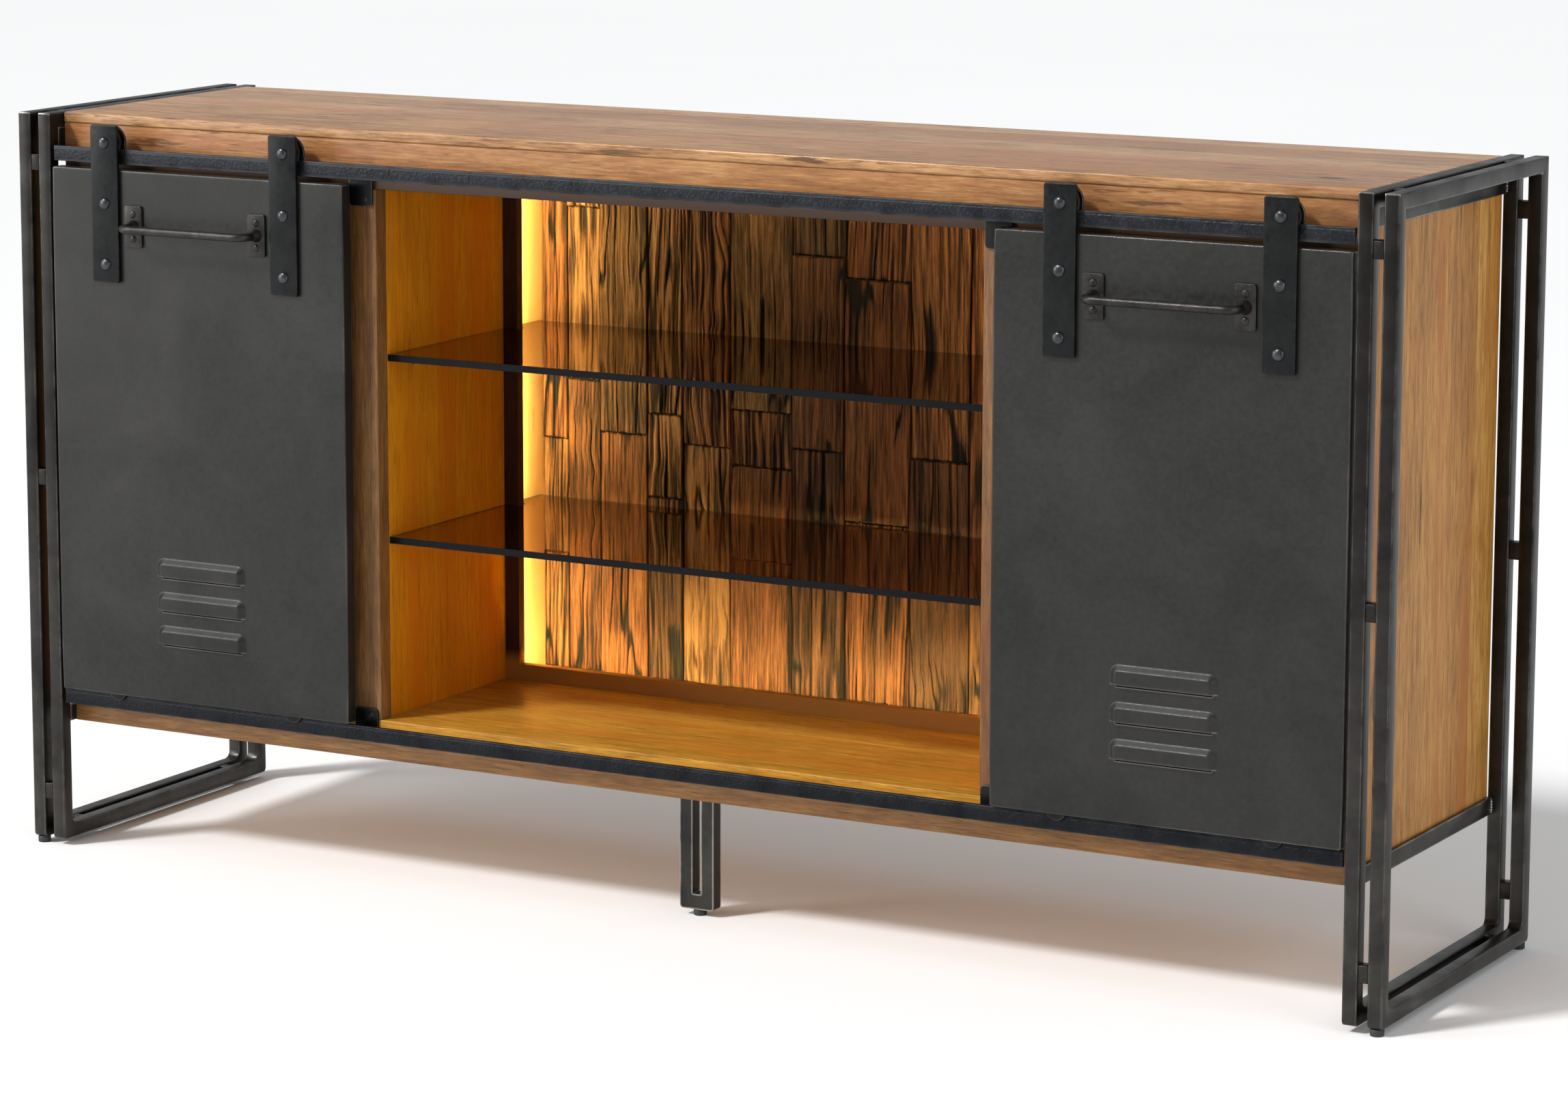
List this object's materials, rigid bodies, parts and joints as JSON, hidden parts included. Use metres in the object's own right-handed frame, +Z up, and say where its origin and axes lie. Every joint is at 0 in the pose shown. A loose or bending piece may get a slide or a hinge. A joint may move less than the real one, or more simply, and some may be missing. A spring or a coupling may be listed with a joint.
{
  "type": "sideboard",
  "caption": "Industrial sideboard with welded steel end frames, a wooden carcass, sliding steel doors on a flat track, glass shelves and a lit wood mosaic back",
  "frame": {"origin": "on the floor, at the middle of the overall box in X and Y", "axes": "+X to the right as seen from the front, +Y from the front to the back, +Z up"},
  "size_m": [1.778, 0.4706, 0.9],
  "materials": {
    "frame_steel": "dark gunmetal lacquer over brushed steel, worn bright on the edges",
    "door_steel": "mottled grey lacquered raw steel, burnished on the edges",
    "dark_steel": "near black satin",
    "track_steel": "dark blue grey, hammered",
    "roller_steel": "near black satin, turned",
    "handle_steel": "dark burnished steel",
    "top_wood": "light brown grain under clear gloss lacquer",
    "wood": "warm brown grain, satin lacquer",
    "mosaic_wood": "stacked weathered blocks, matte",
    "dark_wood": "dark brown stain, satin",
    "back_wood": "plain board, matte",
    "light_strip": "diffuser of a warm light strip",
    "smoked_glass": "smoked brown, polished edges",
    "foot_plastic": "black"
  },
  "bodies": {
    "cabinet": {"top_board": "top_wood", "front_apron": "wood", "bottom_front_rail": "wood", "bottom_board": "wood", "mosaic_back_panel": "mosaic_wood", "light_frame": "dark_wood", "left_light_strip": "light_strip", "right_light_strip": "light_strip", "lower_light_strip": "light_strip", "upper_light_strip": "light_strip", "upper_glass_shelf": "smoked_glass", "lower_glass_shelf": "smoked_glass", "upper_track": "track_steel", "lower_track": "track_steel", "middle_leg": "frame_steel", "middle_foot": "foot_plastic", "left_outer_loop": "frame_steel", "left_inner_loop": "frame_steel", "left_lower_side_bar": "frame_steel", "left_upper_side_bar": "frame_steel", "left_side_panel": "wood", "left_stile": "wood", "left_divider": "wood", "left_back_panel": "back_wood", "left_bay_shelf": "wood", "left_upper_track_bracket": "dark_steel", "left_lower_track_bracket": "dark_steel", "left_front_foot": "foot_plastic", "left_back_foot": "foot_plastic", "right_outer_loop": "frame_steel", "right_inner_loop": "frame_steel", "right_lower_side_bar": "frame_steel", "right_upper_side_bar": "frame_steel", "right_side_panel": "wood", "right_stile": "wood", "right_divider": "wood", "right_back_panel": "back_wood", "right_bay_shelf": "wood", "right_upper_track_bracket": "dark_steel", "right_lower_track_bracket": "dark_steel", "right_front_foot": "foot_plastic", "right_back_foot": "foot_plastic"},
    "left_door": {"left_door_panel": "door_steel", "left_handle": "handle_steel", "left_outer_strap": "dark_steel", "left_outer_guide": "dark_steel", "left_inner_strap": "dark_steel", "left_inner_guide": "dark_steel"},
    "left_outer_roller": {"left_outer_roller": "roller_steel"},
    "left_inner_roller": {"left_inner_roller": "roller_steel"},
    "right_door": {"right_door_panel": "door_steel", "right_handle": "handle_steel", "right_outer_strap": "dark_steel", "right_outer_guide": "dark_steel", "right_inner_strap": "dark_steel", "right_inner_guide": "dark_steel"},
    "right_outer_roller": {"right_outer_roller": "roller_steel"},
    "right_inner_roller": {"right_inner_roller": "roller_steel"}
  },
  "joints": [
    {"name": "left_door_slide", "type": "slide", "parent": "cabinet", "child": "left_door", "axis": [1, 0, 0], "range_m": [0, 0.4205]},
    {"name": "left_outer_roller_turn", "type": "hinge", "parent": "left_door", "child": "left_outer_roller", "pos_m": [-0.7585, -0.19103, 0.87], "axis": [0, 1, 0], "range_deg": [0, 3140]},
    {"name": "left_inner_roller_turn", "type": "hinge", "parent": "left_door", "child": "left_inner_roller", "pos_m": [-0.5025, -0.19103, 0.87], "axis": [0, 1, 0], "range_deg": [0, 3140]},
    {"name": "right_door_slide", "type": "slide", "parent": "cabinet", "child": "right_door", "axis": [-1, 0, 0], "range_m": [0, 0.4205]},
    {"name": "right_outer_roller_turn", "type": "hinge", "parent": "right_door", "child": "right_outer_roller", "pos_m": [0.7585, -0.19103, 0.87], "axis": [0, 1, 0], "range_deg": [-3140, 0]},
    {"name": "right_inner_roller_turn", "type": "hinge", "parent": "right_door", "child": "right_inner_roller", "pos_m": [0.5025, -0.19103, 0.87], "axis": [0, 1, 0], "range_deg": [-3140, 0]}
  ],
  "couplings": [
    {"joint": "left_outer_roller_turn", "follows": "left_door_slide", "rad_per_m": 129.87},
    {"joint": "left_inner_roller_turn", "follows": "left_door_slide", "rad_per_m": 129.87},
    {"joint": "right_outer_roller_turn", "follows": "right_door_slide", "rad_per_m": -129.87},
    {"joint": "right_inner_roller_turn", "follows": "right_door_slide", "rad_per_m": -129.87}
  ]
}
